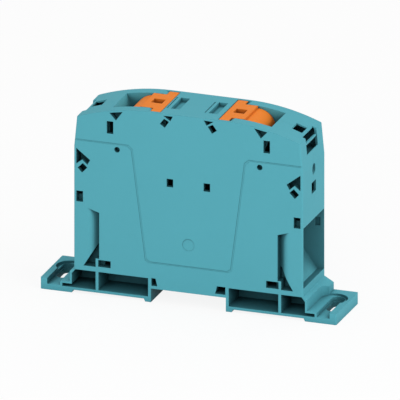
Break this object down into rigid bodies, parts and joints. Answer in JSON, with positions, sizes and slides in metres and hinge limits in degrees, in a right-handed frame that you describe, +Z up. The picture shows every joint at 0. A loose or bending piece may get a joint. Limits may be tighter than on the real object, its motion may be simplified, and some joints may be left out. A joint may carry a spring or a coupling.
{
  "type": "feed-through terminal block",
  "caption": "Slab-shaped moulded terminal block on slotted screw feet, with a funnel at each end for a heavy conductor and a lever on top that opens each spring clamp.",
  "frame": {"origin": "on the mounting surface, midway between the two feet and midway across the width", "axes": "+X along the conductors, +Y from the windowed side face to the plain one, +Z up from the mounting surface to the levers"},
  "size_m": [0.124, 0.026, 0.0803],
  "materials": {
    "housing": "fine spark texture, satin",
    "lever": "fine moulded, satin",
    "pusher": "plain moulded",
    "copper": "tinned or bare copper, rolled",
    "cage_steel": "zinc plated",
    "spring_steel": "rolled spring strip",
    "pin_steel": "ground"
  },
  "bodies": {
    "housing": {"front_shell": "housing", "rear_shell": "housing", "current_bar": "copper", "clamp_cage_left": "cage_steel", "clamp_cage_right": "cage_steel", "clamp_spring_left": "spring_steel", "clamp_spring_right": "spring_steel", "lever_pin_left": "pin_steel", "lever_pin_right": "pin_steel"},
    "left_lever": {"lever_left": "lever"},
    "right_lever": {"lever_right": "lever"},
    "left_pusher": {"pusher_left": "pusher"},
    "right_pusher": {"pusher_right": "pusher"}
  },
  "joints": [
    {"name": "lever_right_hinge", "type": "hinge", "parent": "housing", "child": "right_lever", "pos_m": [0.0218, 0, 0.0717], "axis": [0, 1, 0], "range_deg": [0, 55]},
    {"name": "lever_left_hinge", "type": "hinge", "parent": "housing", "child": "left_lever", "pos_m": [-0.0218, 0, 0.0717], "axis": [0, -1, 0], "range_deg": [0, 55]},
    {"name": "pusher_right_slide", "type": "slide", "parent": "housing", "child": "right_pusher", "axis": [0, 0, -1], "range_m": [0, 0.0035], "deforming": ["clamp_spring_right"]},
    {"name": "pusher_left_slide", "type": "slide", "parent": "housing", "child": "left_pusher", "axis": [0, 0, -1], "range_m": [0, 0.0035], "deforming": ["clamp_spring_left"]}
  ],
  "couplings": [
    {"joint": "pusher_right_slide", "follows": "lever_right_hinge", "m_per_rad": 0.0036},
    {"joint": "pusher_left_slide", "follows": "lever_left_hinge", "m_per_rad": 0.0036}
  ]
}
